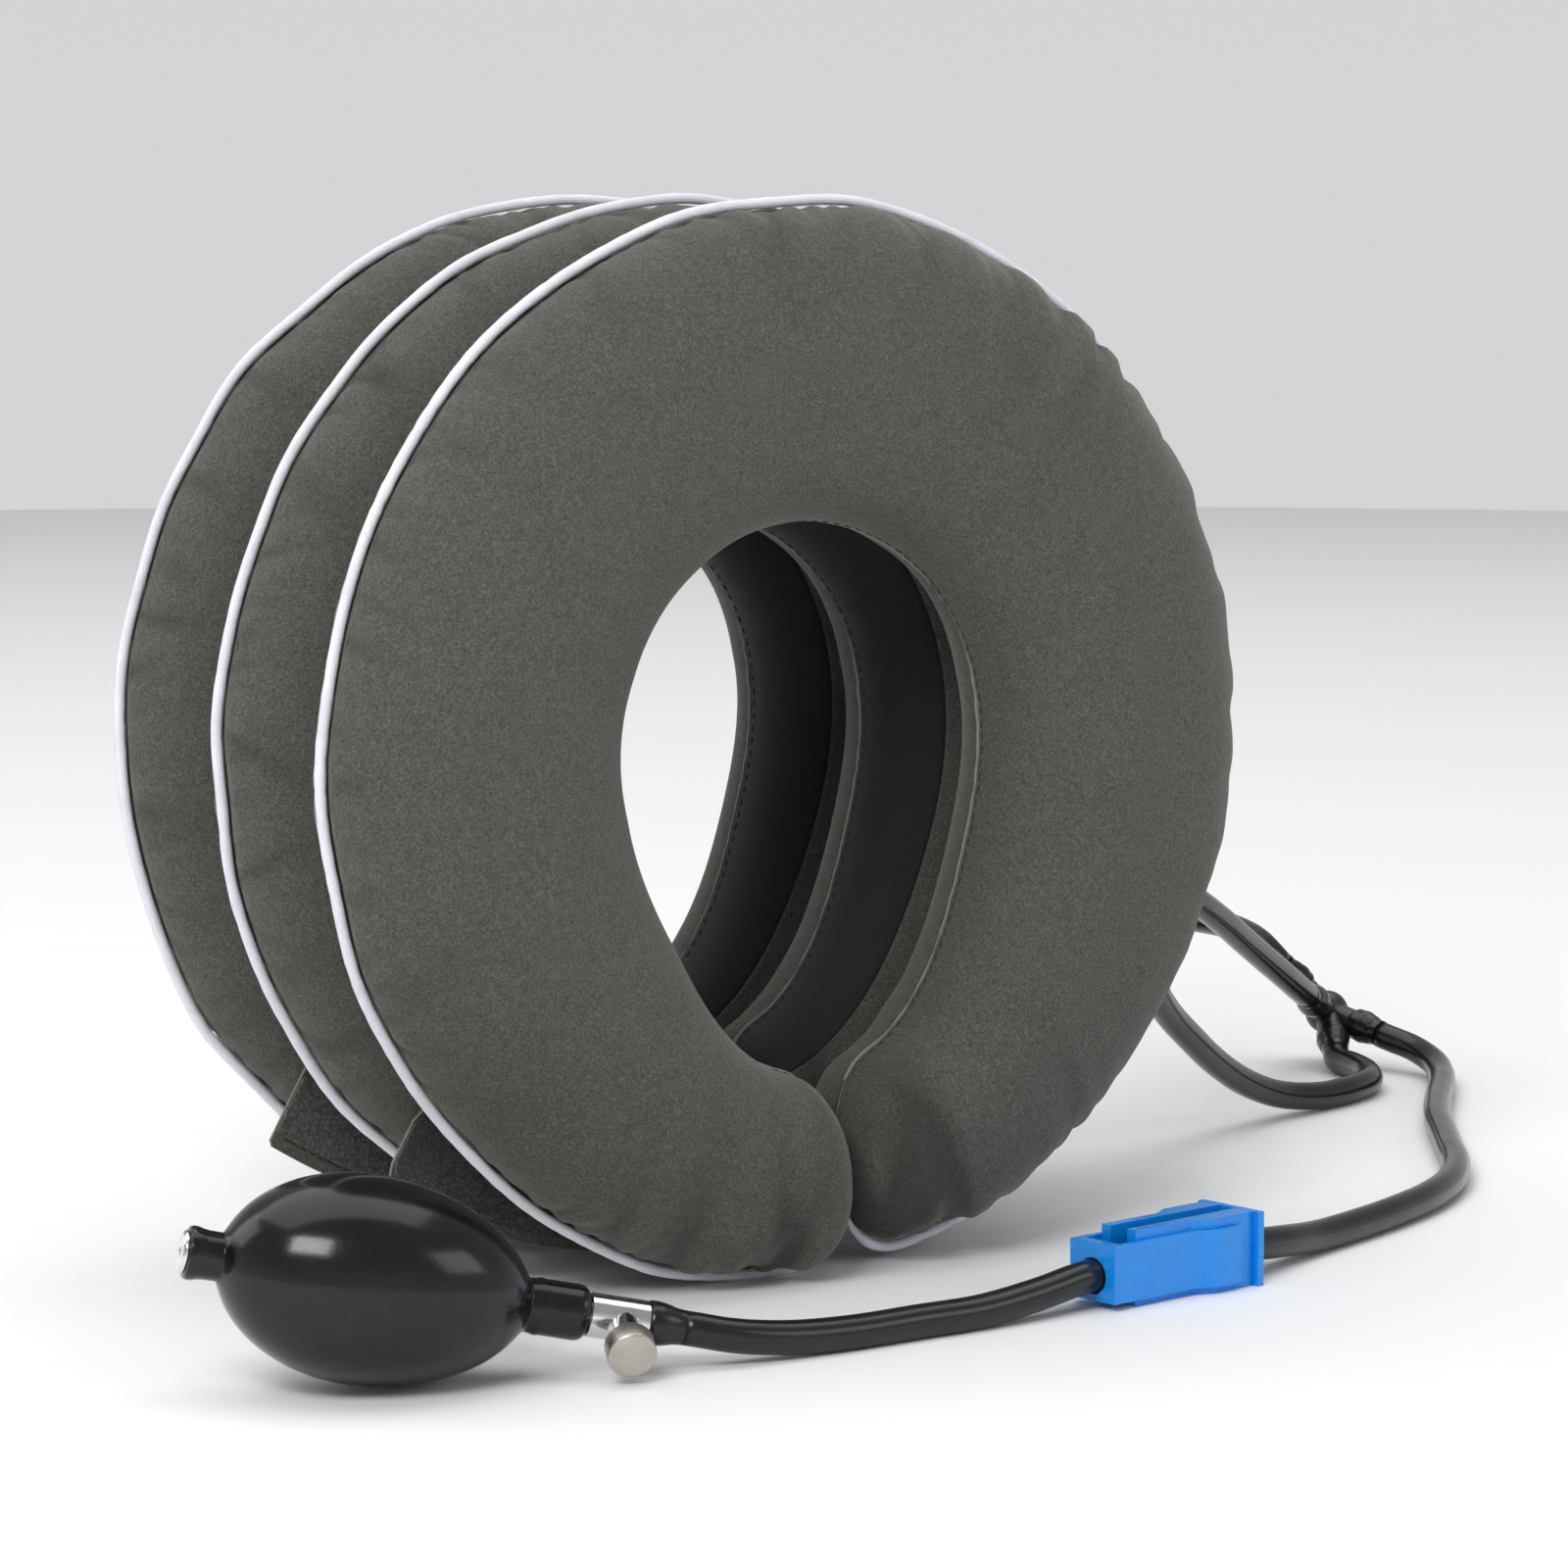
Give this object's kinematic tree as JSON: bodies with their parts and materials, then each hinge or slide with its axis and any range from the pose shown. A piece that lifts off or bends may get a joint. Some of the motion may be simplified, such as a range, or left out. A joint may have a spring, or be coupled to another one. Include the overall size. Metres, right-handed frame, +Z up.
{
  "type": "cervical traction device",
  "caption": "Inflatable layered neck collar with branch hoses, a connector, a slide clamp, a hand bulb and a release valve with a thumb screw.",
  "frame": {"origin": "on the surface the collar stands on, under the neck opening's axis, in the middle layer's plane", "axes": "+Y along the neck opening, from the front layer to the back layer; +Z up; +X to the right seen from the front layer"},
  "size_m": [0.4759, 0.2431, 0.2474],
  "materials": {
    "flock": "flocked velour, matt",
    "lining": "smooth woven, satin",
    "piping": "woven tape over a cord",
    "strap": "flocked velour, matt",
    "hook_tape": "fuzzy hook and loop tape",
    "loop_tape": "soft loop tape",
    "bladder": "matt",
    "hose_rubber": "satin",
    "bulb_rubber": "glossy",
    "black_plastic": "satin",
    "blue_plastic": "glossy moulded",
    "valve_chrome": "polished",
    "knob_nickel": "brushed nickel",
    "brass": "machined",
    "steel": "polished"
  },
  "bodies": {
    "root": {"middle_cover_front_panel": "flock", "middle_cover_back_panel": "flock", "middle_neck_lining": "lining", "middle_piping": "piping", "middle_bladder": "bladder", "middle_inlet": "black_plastic", "front_branch_hose": "hose_rubber", "middle_branch_hose": "hose_rubber", "back_branch_hose": "hose_rubber", "main_hose": "hose_rubber", "middle_inlet_cuff": "hose_rubber", "four_way_connector": "black_plastic", "front_branch_cuff": "hose_rubber", "middle_branch_cuff": "hose_rubber", "back_branch_cuff": "hose_rubber", "main_hose_cuff": "hose_rubber", "clamp_flange": "blue_plastic", "bulb": "bulb_rubber", "intake_valve_body": "valve_chrome", "intake_retainer": "brass", "outlet_seat": "brass", "valve_body": "valve_chrome", "valve_cuff": "hose_rubber"},
    "front_layer": {"front_cover_front_panel": "flock", "front_cover_back_panel": "flock", "front_piping": "piping", "front_bladder": "bladder", "front_inlet": "black_plastic", "front_inlet_cuff": "hose_rubber", "front_strap": "strap", "front_strap_hook_patch": "hook_tape"},
    "back_layer": {"back_cover_front_panel": "flock", "back_cover_back_panel": "flock", "back_neck_lining": "lining", "back_piping": "piping", "back_bladder": "bladder", "back_inlet": "black_plastic", "back_inlet_cuff": "hose_rubber", "rear_strap": "strap", "rear_strap_loop_patch": "loop_tape"},
    "clamp_sleeve": {"clamp_sleeve": "blue_plastic"},
    "clamp_near_jaw": {"clamp_near_jaw": "blue_plastic"},
    "clamp_far_jaw": {"clamp_far_jaw": "blue_plastic"},
    "release_needle": {"release_needle": "brass"},
    "release_knob": {"release_knob": "knob_nickel"},
    "intake_ball": {"intake_ball": "steel"},
    "outlet_ball": {"outlet_ball": "steel"}
  },
  "joints": [
    {"name": "front_layer_slide", "type": "slide", "parent": "root", "child": "front_layer", "axis": [0, 1, 0], "range_m": [0, 0.026], "deforming": ["front_cover_front_panel", "front_cover_back_panel", "front_piping", "front_bladder", "front_strap", "front_strap_hook_patch", "front_branch_hose", "middle_cover_front_panel", "middle_cover_back_panel", "middle_neck_lining", "middle_piping", "middle_bladder"]},
    {"name": "back_layer_slide", "type": "slide", "parent": "root", "child": "back_layer", "axis": [0, 1, 0], "range_m": [-0.026, 0], "deforming": ["back_cover_front_panel", "back_cover_back_panel", "back_neck_lining", "back_piping", "back_bladder", "rear_strap", "rear_strap_loop_patch", "back_branch_hose"]},
    {"name": "clamp_slide", "type": "slide", "parent": "root", "child": "clamp_sleeve", "axis": [0.9903, 0.1392, 0], "range_m": [0, 0.005], "deforming": ["main_hose"]},
    {"name": "near_jaw_slide", "type": "slide", "parent": "root", "child": "clamp_near_jaw", "axis": [-0.1392, 0.9903, 0], "range_m": [0, 0.0025]},
    {"name": "far_jaw_slide", "type": "slide", "parent": "root", "child": "clamp_far_jaw", "axis": [0.1392, -0.9903, 0], "range_m": [0, 0.0025]},
    {"name": "needle_travel", "type": "slide", "parent": "root", "child": "release_needle", "axis": [-0.3671, -0.8679, -0.3345], "range_m": [0, 0.00175]},
    {"name": "knob_turn", "type": "hinge", "parent": "release_needle", "child": "release_knob", "pos_m": [-0.08703, -0.11082, 0.01146], "axis": [-0.3671, -0.8679, -0.3345], "range_deg": [0, 900]},
    {"name": "intake_ball_lift", "type": "slide", "parent": "root", "child": "intake_ball", "axis": [0.9271, -0.312, -0.2079], "range_m": [0, 0.003]},
    {"name": "outlet_ball_lift", "type": "slide", "parent": "root", "child": "outlet_ball", "axis": [0.9271, -0.312, -0.2079], "range_m": [0, 0.001]}
  ],
  "couplings": [
    {"joint": "back_layer_slide", "follows": "front_layer_slide", "ratio": -1},
    {"joint": "near_jaw_slide", "follows": "clamp_slide", "ratio": 0.5},
    {"joint": "far_jaw_slide", "follows": "clamp_slide", "ratio": 0.5},
    {"joint": "knob_turn", "follows": "needle_travel", "rad_per_m": 8976}
  ]
}
